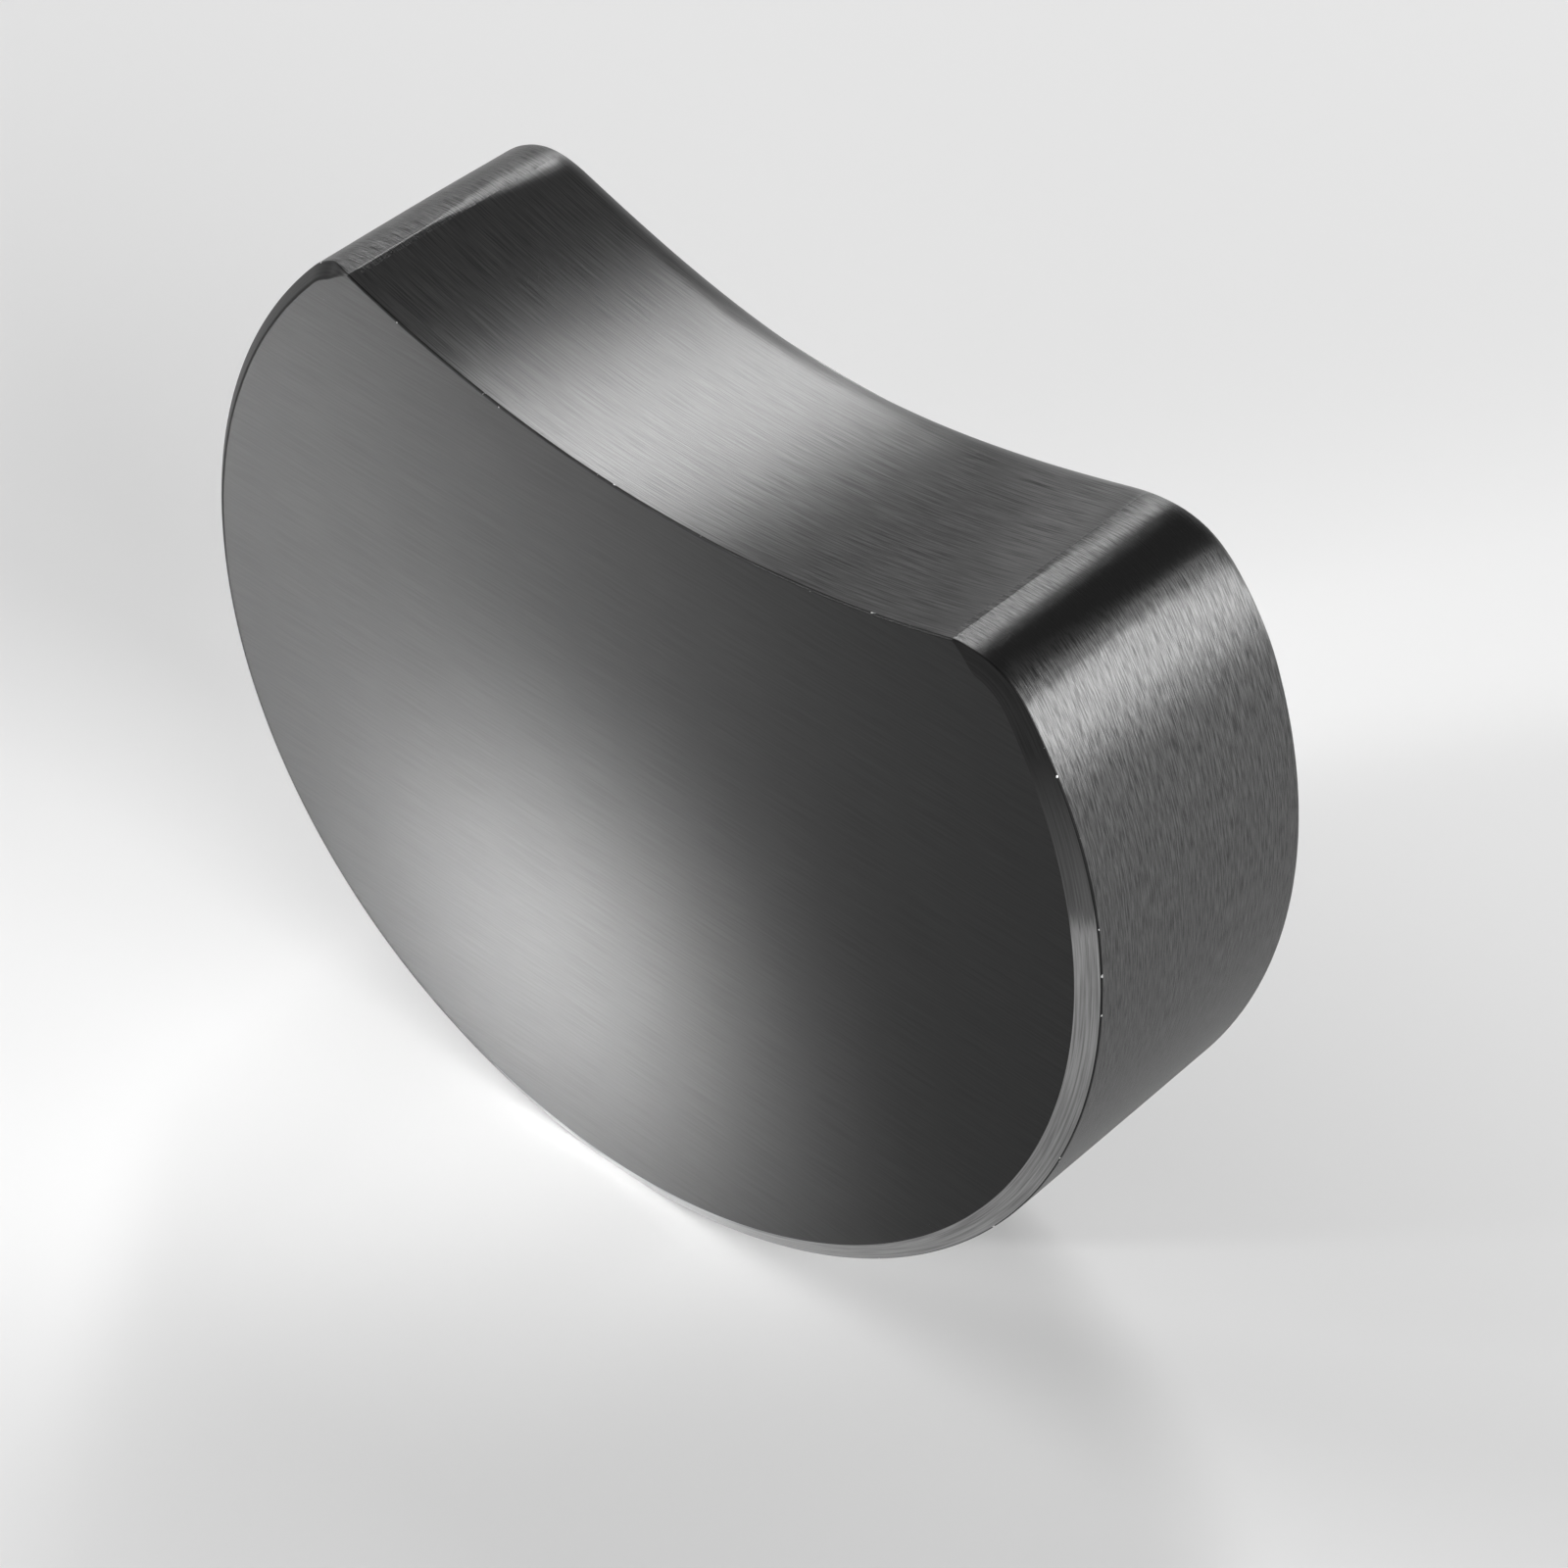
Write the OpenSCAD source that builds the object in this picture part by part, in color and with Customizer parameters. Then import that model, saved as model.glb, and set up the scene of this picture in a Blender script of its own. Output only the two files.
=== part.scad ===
// Crescent chopstick rest, a hollow shell of welded sheet
// X runs from horn to horn, Y from front to back and Z up, with the origin in the middle of the flat foot
// Outlines are drawn in the X-Z plane, centred on the disc that the crescent is cut from

/* [Body] */
// Width over the round outline
body_w = 42; // [36:0.5:50]
// Thickness from front face to back face
body_t = 11.7; // [8:0.1:16]
// Height of the saddle's lowest point above the table
saddle_low = 32.9; // [30:0.1:34]
// Radius of the saddle
saddle_r = 45; // [32:0.5:60]
// Width of the flat ground under the round outline, which the rest stands on
foot_w = 4; // [2:0.5:6]

/* [Horns] */
// Radius of the band where it turns over a horn tip
tip_r = 3.2; // [2.2:0.1:4]
// Angle of the crease between the turned end of the band and the saddle
crease_angle = 24; // [18:1:32]

/* [Sheet] */
// Thickness of the front and back plates
plate_t = 0.8; // [0.6:0.1:1.2]
// Thickness of the strip that the band is bent from
band_t = 0.8; // [0.6:0.1:1]
// Thickness of the strip that the saddle is bent from
saddle_t = 0.8; // [0.6:0.1:1]
// Gap round a plate where it sits inside the strips
plate_gap = 0.05; // [0.02:0.01:0.1]

/* [Welds] */
// Depth of the welded groove, from a face down to the edges of the strips
weld_depth = 0.5; // [0.3:0.05:0.6]
// Thin land left on the outline between the ground bevel and the band
band_land = 0.04; // [0.02:0.01:0.1]
// Thin land left on the face between a plate's edge and the bevel
face_land = 0.03; // [0.01:0.01:0.06]
// Width of the bead across a horn, along the outside
horn_bead_w = 0.5; // [0.3:0.05:0.7]
// Width of the same bead at its root, inside the shell
horn_root_w = 0.2; // [0.1:0.05:0.3]

/* [Hidden] */
$fn = 180;

// Radius of the disc, and the height of its centre above the foot
disc_r = body_w / 2;
disc_z = sqrt(pow(disc_r, 2) - pow(foot_w / 2, 2));
// Height of the saddle's centre above the disc's centre
saddle_zc = saddle_low - disc_z + saddle_r;
// Groove widths round the plate, which are also the widths of the beads that fill them
rim_groove = band_t + plate_gap;
saddle_groove = saddle_t + plate_gap;
front_y = -body_t / 2;
// Ground bevel's width on the face, and its height from the face down to the land above the band
bevel_w = rim_groove - face_land;
bevel_depth = weld_depth - band_land;
// How far a helper shape runs past what it cuts
past = body_w / 5;
// How far the cut at a tip laps back over the cut along the arc
cut_lap = 0.02;

// The tip's circle stands this much proud of the disc, so that the two outlines cross cleanly
tip_proud = 0.002;
// Distances from the tip's centre to the disc's and to the saddle's, which give the crease its angle
tip_to_disc = disc_r - tip_r + tip_proud;
tip_to_saddle = sqrt(pow(saddle_r, 2) + pow(tip_r, 2) + 2 * saddle_r * tip_r * cos(crease_angle));
tip_z = (pow(tip_to_disc, 2) - pow(tip_to_saddle, 2) + pow(saddle_zc, 2)) / (2 * saddle_zc);
tip_c = [sqrt(pow(tip_to_disc, 2) - pow(tip_z, 2)), tip_z];
// Directions from the tip's centre: where the round outline ends, and towards the saddle's centre
tip_dir = atan2(tip_c[1], tip_c[0]);
saddle_dir = atan2(saddle_zc - tip_c[1], -tip_c[0]);

function heading(a) = [cos(a), sin(a)];
function unit(v) = v / norm(v);
// Corner where the tip's circle meets the saddle's, both moved in by their strip's thickness
function corner(rim_in, saddle_in) =
  let (r = tip_r - rim_in, s = saddle_r + saddle_in)
  tip_c + r * heading(saddle_dir - acos((pow(tip_to_saddle, 2) + r * r - s * s) / (2 * tip_to_saddle * r)));

// The crease on the outside, and the line through the strip that the weld follows
crease = corner(0, 0);
seam_dir = unit(crease - corner(band_t, saddle_t));
// The beads on the faces part just past the crease, on the band's side, clear of every corner
seam_lap = 0.02;
seam = crease + [seam_lap, 0];

// Crescent outline on the right and left alike, moved in from the rim and from the saddle
module crescent(rim_in = 0, saddle_in = 0) {
  difference() {
    circle(r = disc_r - rim_in);
    translate([0, saddle_zc]) circle(r = saddle_r + saddle_in);
    both_horns() difference() {
      tip_wedge();
      translate(tip_c) circle(r = tip_r - rim_in);
    }
  }
}

// All that lies past the end of the round outline, seen from the right tip's centre
module tip_wedge() {
  polygon([tip_c, tip_c + past * heading(tip_dir), tip_c + past * heading(saddle_dir)]);
}

// The space between the two seams, where the saddle's pieces lie
module between_horns() {
  low = seam - past * seam_dir;
  high = seam + past * seam_dir;
  polygon([low, high, [-high[0], high[1]], [-low[0], low[1]]]);
}

// The groove that a right horn's bead is laid in, narrow at the root and wide outside
module horn_groove() {
  across = [seam_dir[1], -seam_dir[0]] / 2;
  root = corner(band_t, saddle_t);
  widen = (horn_bead_w - horn_root_w) / norm(crease - root);
  low = root - seam_dir * band_t / 4;
  low_w = horn_root_w - widen * band_t / 4;
  high = crease + seam_dir * tip_r;
  high_w = horn_bead_w + widen * tip_r;
  polygon([low - low_w * across, low + low_w * across, high + high_w * across, high - high_w * across]);
}

module both_horns() {
  children();
  mirror([1, 0]) children();
}

// The whole outline, with the foot ground flat
module footed_crescent() {
  difference() {
    crescent();
    translate([-past, -disc_z - past]) square([2 * past, past]);
  }
}

// Cross-section of the strips, all the way round
module strip_outline() {
  difference() {
    footed_crescent();
    crescent(band_t, saddle_t);
  }
}

// The groove between a plate and the edges of the strips
module groove_outline() {
  difference() {
    footed_crescent();
    crescent(rim_groove, saddle_groove);
  }
}

// A solid of the given depth, starting at a depth below the front face
module below_face(start, depth) {
  translate([0, front_y + start + depth, disc_z]) rotate([90, 0, 0]) linear_extrude(depth) children();
}

module at_back() {
  mirror([0, 1, 0]) children();
}

module plate() {
  below_face(0, plate_t) crescent(rim_groove, saddle_groove);
}

module strip() {
  below_face(weld_depth, body_t - 2 * weld_depth) children();
}

// The bead round the convex outline, ground flush with both surfaces
module rim_weld() {
  below_face(0, weld_depth) difference() {
    groove_outline();
    between_horns();
  }
}

// The same bead ground to a bevel that runs out at each crease
module bevelled_rim_weld() {
  difference() {
    rim_weld();
    bevel_cut();
    run_out_cut();
    mirror([1, 0, 0]) run_out_cut();
  }
}

// The bead along the saddle, ground flush with both surfaces
module saddle_weld() {
  below_face(0, weld_depth) intersection() {
    groove_outline();
    between_horns();
  }
}

// Takes off all that lies outside the bevel's cone, from one horn down round the base to the other
module bevel_cut() {
  lift = past * [-bevel_w, bevel_depth];
  inside = [disc_r - bevel_w, -front_y] + lift;
  outside = [disc_r, -front_y - bevel_depth] - lift;
  arc_dir = tip_dir - asin(cut_lap / disc_r) / 2;
  translate([0, 0, disc_z]) rotate([90, 0, 0]) rotate([0, 0, 180 - arc_dir])
    rotate_extrude(angle = 180 + 2 * arc_dir)
      polygon([inside, outside, [outside[0], inside[1]]]);
}

// Takes off all that lies outside the ground flat at the right tip, which stops short of the crease
module run_out_cut() {
  outside = disc_r * heading(tip_dir);
  inside = (disc_r - bevel_w) * heading(tip_dir);
  stop = crease + face_land * heading(tip_dir);
  slope = [outside[0] - inside[0], bevel_depth, outside[1] - inside[1]];
  along = [stop[0] - inside[0], 0, stop[1] - inside[1]];
  out = unit(cross(slope, along));
  intersection() {
    translate([inside[0], front_y, inside[1] + disc_z])
      rotate([0, acos(out[2]), atan2(out[1], out[0])])
        translate([-past, -past, 0]) cube(2 * past);
    below_face(-past, 2 * past) translate(cut_lap * heading(tip_dir - 90)) tip_wedge();
  }
}

module front_plate() {
  color("#6b6b6d") plate();
}

module back_plate() {
  color("#6b6b6d") at_back() plate();
}

module rim_band() {
  color("#57575a") strip() difference() {
    strip_outline();
    between_horns();
    both_horns() horn_groove();
  }
}

module saddle_plate() {
  color("#606063") strip() difference() {
    intersection() {
      strip_outline();
      between_horns();
    }
    both_horns() horn_groove();
  }
}

module front_rim_weld() {
  color("#8a8a8c") bevelled_rim_weld();
}

module back_rim_weld() {
  color("#57575a") at_back() rim_weld();
}

module front_saddle_weld() {
  color("#3c3c3e") saddle_weld();
}

module back_saddle_weld() {
  color("#3c3c3e") at_back() saddle_weld();
}

module right_horn_weld() {
  color("#9a9a9c") strip() intersection() {
    strip_outline();
    horn_groove();
  }
}

module left_horn_weld() {
  mirror([1, 0, 0]) right_horn_weld();
}

front_plate();
back_plate();
rim_band();
saddle_plate();
front_rim_weld();
back_rim_weld();
front_saddle_weld();
back_saddle_weld();
left_horn_weld();
right_horn_weld();
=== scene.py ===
"""Crescent chopstick rest in dark brushed steel, a hollow shell welded from sheet."""

import bpy
import numpy as np
from bpy.props import FloatProperty, FloatVectorProperty, PointerProperty
from mathutils import Matrix, Vector


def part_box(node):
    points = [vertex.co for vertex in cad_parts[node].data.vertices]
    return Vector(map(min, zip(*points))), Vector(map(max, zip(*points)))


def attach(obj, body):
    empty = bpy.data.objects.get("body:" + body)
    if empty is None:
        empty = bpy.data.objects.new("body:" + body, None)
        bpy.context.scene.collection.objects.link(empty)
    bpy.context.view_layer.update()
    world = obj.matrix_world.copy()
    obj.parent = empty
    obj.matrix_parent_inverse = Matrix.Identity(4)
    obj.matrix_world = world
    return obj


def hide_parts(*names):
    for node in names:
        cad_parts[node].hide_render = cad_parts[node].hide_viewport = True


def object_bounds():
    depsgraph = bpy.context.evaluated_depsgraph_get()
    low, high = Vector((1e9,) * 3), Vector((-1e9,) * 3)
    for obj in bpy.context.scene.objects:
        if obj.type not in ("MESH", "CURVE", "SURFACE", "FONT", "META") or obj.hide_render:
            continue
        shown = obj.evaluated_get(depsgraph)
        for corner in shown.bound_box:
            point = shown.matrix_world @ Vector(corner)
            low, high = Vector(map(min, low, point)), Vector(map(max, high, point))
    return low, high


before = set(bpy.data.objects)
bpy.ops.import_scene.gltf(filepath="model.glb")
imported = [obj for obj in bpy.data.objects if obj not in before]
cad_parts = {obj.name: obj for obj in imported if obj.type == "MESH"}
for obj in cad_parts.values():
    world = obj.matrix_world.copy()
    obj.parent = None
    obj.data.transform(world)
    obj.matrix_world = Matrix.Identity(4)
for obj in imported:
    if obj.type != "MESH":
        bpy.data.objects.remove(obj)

CAD_LOW, CAD_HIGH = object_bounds()
THICK = CAD_HIGH.y - CAD_LOW.y
MM = 0.001
BODY = "root"
GRAIN = "grain"

# Steps between mesh points: along a strip, a front bead and a crease, and down from the face
STRIP_STEP = 0.15 * MM
BEAD_STEP = 0.12 * MM
CREASE_STEP = 0.02 * MM
DEPTH_STEP = 0.2 * MM
# Points across a plate, from the rim to the saddle, and along it, from crease to crease
PLATE_ROWS = 49
PLATE_COLUMNS = 639
# Points on a rounded corner of a front bead, and all the way round the outside of a back bead
CORNER_POINTS = 6
BACK_POINTS = 20
# Two faces that meet at more than this angle are shaded with a sharp edge
SHARP_ANGLE = np.radians(40)

# Kinds of surface on a front bead, in the order of its materials
FACE, BEVEL, SIDE, ROOT, ROUNDED = range(5)
# How far the bevel's corners are rounded, towards the face and towards the band
FACE_ROUND = 0.08 * MM
SIDE_ROUND = 0.06 * MM

# The floor's radius in metres, its rings and its sides
FLOOR_RADIUS = 2.4
FLOOR_RINGS = 8
FLOOR_SIDES = 96

bl_info = {
    "name": "Chopstick rest",
    "version": (1, 0, 0),
    "blender": (4, 5, 0),
    "location": "3D View > Sidebar > Chopstick rest",
    "description": "Builds a crescent chopstick rest in dark brushed steel and its stage",
    "category": "Object",
}


def linear(code):
    """Turns an sRGB hex colour into linear red, green and blue."""
    srgb = np.array([int(code[i : i + 2], 16) for i in (1, 3, 5)]) / 255
    low = srgb / 12.92
    high = ((srgb + 0.055) / 1.055) ** 2.4
    return tuple(float(c) for c in np.where(srgb <= 0.04045, low, high))


def length(name, millimetres, description):
    """A size that a user may change, given in millimetres and kept in metres."""
    return FloatProperty(
        name=name, description=description, default=millimetres * MM, min=0.0, unit="LENGTH"
    )


def angle(name, degrees, description):
    """An angle that a user may change, given in degrees."""
    return FloatProperty(
        name=name, description=description, default=float(np.radians(degrees)), subtype="ANGLE"
    )


def colour(name, code, description):
    """A colour that a user may change, given as sRGB hex."""
    return FloatVectorProperty(
        name=name, description=description, default=linear(code), subtype="COLOR", min=0.0, max=1.0
    )


def factor(name, value, description):
    """A share between 0 and 1 that a user may change."""
    return FloatProperty(
        name=name, description=description, default=value, min=0.0, max=1.0, subtype="FACTOR"
    )


class RestShape(bpy.types.PropertyGroup):
    """Sizes of the crescent outline and of its horns."""

    saddle_radius: length("Saddle radius", 45.0, "Radius of the concave saddle")
    foot: length("Foot", 4.0, "Width of the flat that the rest stands on")
    reach_left: length("Left crease", 14.15, "From the middle to the crease inside the left horn")
    reach_right: length("Right crease", 13.4, "From the middle to the crease inside the right horn")
    land_left: length("Left land", 0.4, "Flat ground on the left horn, just outside its crease")
    land_right: length("Right land", 0.75, "The same on the right horn")
    tilt_left: angle("Left tilt", 5.0, "Slope of the left flat, down towards the outside")
    tilt_right: angle("Right tilt", -1.0, "The same on the right")
    land_crown: length("Land crown", 60.0, "Radius of the slight crown of that flat")
    crease_front: length("Crease, front", 0.05, "Half length that a crease is worn over in front")
    crease_back: length("Crease, back", 1.35, "Half length that it is blended over at the back")
    mitre: length("Mitre", 1.2, "Half length over which insets turn through a crease")


class RestSheet(bpy.types.PropertyGroup):
    """Sizes of the sheet, the beads and the ground edges."""

    sheet: length("Sheet", 0.8, "Thickness of the plates and of the strips")
    bead_width: length("Bead width", 1.2, "Width of a bead on the face")
    bead_depth: length("Bead depth", 0.5, "Depth of a bead from the face")
    bevel_left: length("Bevel width, left", 0.45, "Width on the face below the left horn")
    bevel_base: length("Bevel width, base", 0.78, "Width of the same bevel round the base")
    bevel_right: length("Bevel width, right", 0.85, "Width of the same bevel below the right horn")
    bevel_depth: length("Bevel depth", 0.42, "Depth of the ground bevel along the band")
    run_out: length("Bevel run-out", 1.3, "Length over which the bevel grows from a crease")
    shallow: length("Shallow run", 12.0, "From the right crease to where the bevel is fully deep")
    # Where the bevel's painted reflection stops, measured from the right crease
    bright_from: length("Bright from", 11.8, "From the right crease to where the bevel is bright")
    edge: length("Edge", 0.05, "Broken edge between the front face and the saddle")
    back_saddle: length("Back edge, saddle", 2.3, "Rounding of the saddle's back edge in the middle")
    back_horn: length("Back edge, horns", 1.3, "Rounding of the same edge at the horns")
    back_rim: length("Back edge, rim", 0.12, "Rounding of the round outline's back edge")
    fade: length("Fade", 8.0, "Length along the rim over which the horns' rounding dies away")
    horn_bead: length("Horn bead", 0.5, "Width of the bead along a crease")


class RestFinish(bpy.types.PropertyGroup):
    """Colours of the steel."""

    # The plate's tints are the strips' steel made darker: painted shade for the face's dark reflections
    plate: colour("Plate", "#363636", "Dark coated stainless steel with a fine brush")
    plate_worn: colour("Plate, streaks", "#464646", "Streaks in the same")
    steel: colour("Strip", "#484848", "The same steel with a coarser brush, band and saddle")
    steel_worn: colour("Strip, streaks", "#747474", "Streaks where brushing shows the metal")
    # Light streaks by the right horn, most towards the saddle's back: partly scores, partly a painted
    # highlight where the rounded back edge catches the light
    scores_and_sheen: colour("Strip, scored", "#a8a8a8", "Coarse streaks in the saddle's back corner")
    # Darker tint on the band just before the right crease: painted shade for the dark zone on the right
    # horn's tip
    tip_painted_shade: colour("Strip, coated", "#464646", "The band at the right tip, left unbrushed")
    # Darker tint on the bevel under both horns: painted shade
    bevel_painted_shade: colour("Bevel, coated", "#2a2a2a", "The bevel where the coating is left on")
    # This tint and the next, on the bevel round the base: painted reflection along the lower edge
    bevel: colour("Bevel", "#7c7c7c", "Weld metal ground bright along the lower edge")
    bevel_sheen_streaks: colour("Bevel, streaks", "#a8a8a8", "Streaks in the same")
    bare: colour("Nicks", "#e6e6e6", "Bare stainless steel where the coating is chipped")
    edge: colour("Edge", "#232323", "Dark heat line along the ground edges")
    brushing: factor("Brushing", 0.97, "How far brushing draws the gloss out across its lines")


class RestStage(bpy.types.PropertyGroup):
    """The camera and the floor."""

    azimuth: angle("Azimuth", 39.7, "Camera's angle round the rest, from straight in front")
    elevation: angle("Elevation", 41.9, "Camera's angle above the table")
    roll: angle("Roll", 4.7, "Camera's lean to its left")
    distance: length("Distance", 190.0, "From the camera to the middle of the front face")
    aim_side: length("Aim, side", 2.5, "Where the camera looks, to the right of the rest's middle")
    aim_up: length("Aim, up", 17.8, "Where the camera looks, above the table")
    focal: FloatProperty(
        name="Focal length", description="In millimetres on a 36 mm sensor", default=122.0
    )
    floor: colour("Floor", "#e9e9e9", "Pale matt floor")


def smooth_step(x):
    """0 below 0, 1 above 1 and 3 x squared less 2 x cubed between."""
    x = np.clip(x, 0.0, 1.0)
    return x * x * (3.0 - 2.0 * x)


def unit(v):
    """Vectors of length 1 along the last axis."""
    return v / np.linalg.norm(v, axis=-1, keepdims=True)


def spread(start, end, step):
    """Stations from start to end, about step apart."""
    count = max(2, int(round((end - start) / step)) + 1)
    return np.linspace(start, end, count)


def horn_form(shape, radius, centre, reach, width, tilt):
    """A horn's crease, headings, turns and tip radius, all as they would be on the left.

    Its crease lies on the saddle's arc at the given reach from the middle. The land starts there at a
    tilt from level and bends by its width over its crown's radius. The tip's arc touches the land's end
    and the disc: with e the land's end and n the way into the crescent there, its radius is R squared
    less e squared, over twice the sum of e along n and R.
    """
    half = np.arcsin(reach / shape.saddle_radius)
    crease = -reach + 1j * (centre - shape.saddle_radius * np.cos(half))
    start = np.pi + tilt
    land = width / shape.land_crown
    end = crease + np.exp(1j * start) * (np.exp(1j * land) - 1) / (1j / shape.land_crown)
    inward = 1j * np.exp(1j * (start + land))
    tip = (radius**2 - abs(end) ** 2) / (2 * ((end * np.conj(inward)).real + radius))
    touch = np.angle(end + tip * inward)
    turn = touch + np.pi / 2 - start - land
    return {
        "crease": crease, "start": start, "land": land, "turn": turn,
        "tip": tip, "touch": touch, "half": half,
    }


class Outline:
    """The crescent's outline as a chain of arcs in the plane of the face.

    A point is a complex number, X plus i times Z, measured from the disc's centre. The chain starts at
    the left crease and runs down round the disc: land, tip, disc, tip, land, and back along the saddle.
    Each horn was ground by hand, so its crease, land and tip have sizes of their own. On an arc of
    curvature k that starts at p with heading h, the point at distance t is
    p + exp(i h) (exp(i k t) - 1) / (i k).
    """

    def __init__(self, shape, sheet):
        self.shape = shape
        self.sheet = sheet
        radius = (CAD_HIGH.x - CAD_LOW.x) / 2
        # The disc's centre above the table, and the saddle's centre above the disc's
        self.middle = CAD_LOW.z + np.sqrt(radius**2 - shape.foot**2 / 4)
        saddle_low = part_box("saddle_plate")[0].z + sheet.sheet
        centre = saddle_low - self.middle + shape.saddle_radius
        left = horn_form(shape, radius, centre, shape.reach_left, shape.land_left, shape.tilt_left)
        right = horn_form(shape, radius, centre, shape.reach_right, shape.land_right, shape.tilt_right)
        # How far the outline turns on each arc
        disc = 3 * np.pi - left["touch"] - right["touch"]
        saddle = -left["half"] - right["half"]
        turns = np.array([left["land"], left["turn"], disc, right["turn"], right["land"], saddle])
        crown = shape.land_crown
        radii = np.array([crown, left["tip"], radius, right["tip"], crown, -shape.saddle_radius])
        self.curvature = 1 / radii
        self.lengths = turns * radii
        self.stations = np.concatenate([[0.0], np.cumsum(self.lengths)])
        self.headings = left["start"] + np.concatenate([[0.0], np.cumsum(turns)[:-1]])
        # The saddle starts along its own arc, with a sharp turn from the right land
        self.headings[-1] = np.pi + right["half"]
        self.points = np.empty(len(turns), complex)
        self.sums = np.zeros(len(turns) + 1, complex)
        point = left["crease"]
        for k in range(len(turns)):
            self.points[k] = point
            step, area = self.along(k, self.lengths[k])
            point = point + step
            self.sums[k + 1] = self.sums[k] + self.points[k] * self.lengths[k] + area
        self.total = self.stations[-1]
        self.right_crease = self.stations[-2]

    def along(self, k, t):
        """The step made along arc k after distance t, and that step's running integral."""
        bend = 1j * self.curvature[k]
        turn = np.exp(1j * self.headings[k])
        step = turn * (np.exp(bend * t) - 1) / bend
        return step, (step - turn * t) / bend

    def arc_at(self, s):
        """The arc that each station lies on."""
        return np.clip(np.searchsorted(self.stations, s, side="right") - 1, 0, len(self.points) - 1)

    def sum_to(self, s):
        """Running integral of the outline from its start to s."""
        loops = np.floor(s / self.total)
        s = s - loops * self.total
        k = self.arc_at(s)
        t = s - self.stations[k]
        return loops * self.sums[-1] + self.sums[k] + self.points[k] * t + self.along(k, t)[1]

    def sharp(self, s):
        """The outline itself, creases sharp."""
        s = np.mod(s, self.total)
        k = self.arc_at(s)
        return self.points[k] + self.along(k, s - self.stations[k])[0]

    def soft(self, s, half):
        """The outline's mean over a length of half on either side of s, which rounds its creases."""
        return (self.sum_to(s + half) - self.sum_to(s - half)) / (2 * half)

    def inward(self, s, half):
        """Unit direction into the crescent, turned gently past a crease."""
        chord = self.sharp(s + half) - self.sharp(s - half)
        return 1j * chord / abs(chord)


def rest_outline():
    """The outline that follows from the scene's sizes."""
    scene = bpy.context.scene
    return Outline(scene.rest_shape, scene.rest_sheet)


def crease_softness(shape, depth):
    """Half length that the creases are blended over, which grows from the front to the back."""
    # Shares of the thickness: where the growth starts, and how long it would take to end
    start = 0.3
    run = 0.75
    grow = smooth_step((depth / THICK - start) / run)
    return shape.crease_front + (shape.crease_back - shape.crease_front) * grow


def back_rounding(outline, s):
    """Radius of the back edge: full along the saddle, less at the horns, next to nothing on the rim."""
    sheet = outline.sheet
    s = np.mod(s, outline.total)
    rim = np.minimum(s, outline.right_crease - s)
    fade = smooth_step(1 - rim / sheet.fade)
    low = sheet.back_rim + (sheet.back_horn - sheet.back_rim) * fade
    half = (outline.total - outline.right_crease) / 2
    middle = smooth_step(1 - abs(s - outline.right_crease - half) / half)
    high = sheet.back_horn + (sheet.back_saddle - sheet.back_horn) * middle
    return np.where(s < outline.right_crease, low, high)


def place(outline, s, inset, depth):
    """Points at s along the outline, moved in by inset, at a depth below the front face."""
    shape = outline.shape
    flat = outline.soft(s, crease_softness(shape, depth)) + outline.inward(s, shape.mitre) * inset
    # The foot is ground flat on the table
    height = np.maximum(outline.middle + flat.imag, CAD_LOW.z)
    return np.stack(np.broadcast_arrays(flat.real, CAD_LOW.y + depth, height), axis=-1)


def sweep_faces(rows, columns):
    """Quads of a closed loop of columns points carried over rows stations."""
    r, c = np.meshgrid(np.arange(rows - 1), np.arange(columns), indexing="ij")
    here = r * columns
    after = here + columns
    n = (c + 1) % columns
    return np.stack([here + c, here + n, after + n, after + c], axis=-1).reshape(-1, 4)


def end_caps(rows, columns):
    """The faces that close such a sweep at its first and at its last station."""
    loop = np.arange(columns)
    return [loop[::-1], (rows - 1) * columns + loop]


def make_piece(name, points, quads, uv, kinds, materials, caps):
    """A mesh object from points, quads, a grain map in millimetres for each quad corner, and slots."""
    mesh = bpy.data.meshes.new(name)
    faces = [tuple(q) for q in quads.tolist()] + [tuple(c) for c in caps]
    mesh.from_pydata(points.reshape(-1, 3).tolist(), [], faces)
    layer = mesh.uv_layers.new(name=GRAIN)
    values = np.zeros((len(mesh.loops), 2))
    values[: 4 * len(quads)] = uv.reshape(-1, 2)
    layer.data.foreach_set("uv", values.ravel())
    slots = np.zeros(len(faces), np.int32)
    slots[: len(quads)] = kinds
    mesh.polygons.foreach_set("material_index", slots)
    mesh.polygons.foreach_set("use_smooth", np.ones(len(faces), bool))
    for material in materials:
        mesh.materials.append(material)
    mesh.update()
    mesh.set_sharp_from_angle(angle=SHARP_ANGLE)
    piece = bpy.data.objects.new(name, mesh)
    bpy.context.scene.collection.objects.link(piece)
    return piece


def stand_in(piece, node):
    """Puts a piece on the body in place of its node, and hides that node."""
    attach(piece, BODY)
    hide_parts(node)


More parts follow.
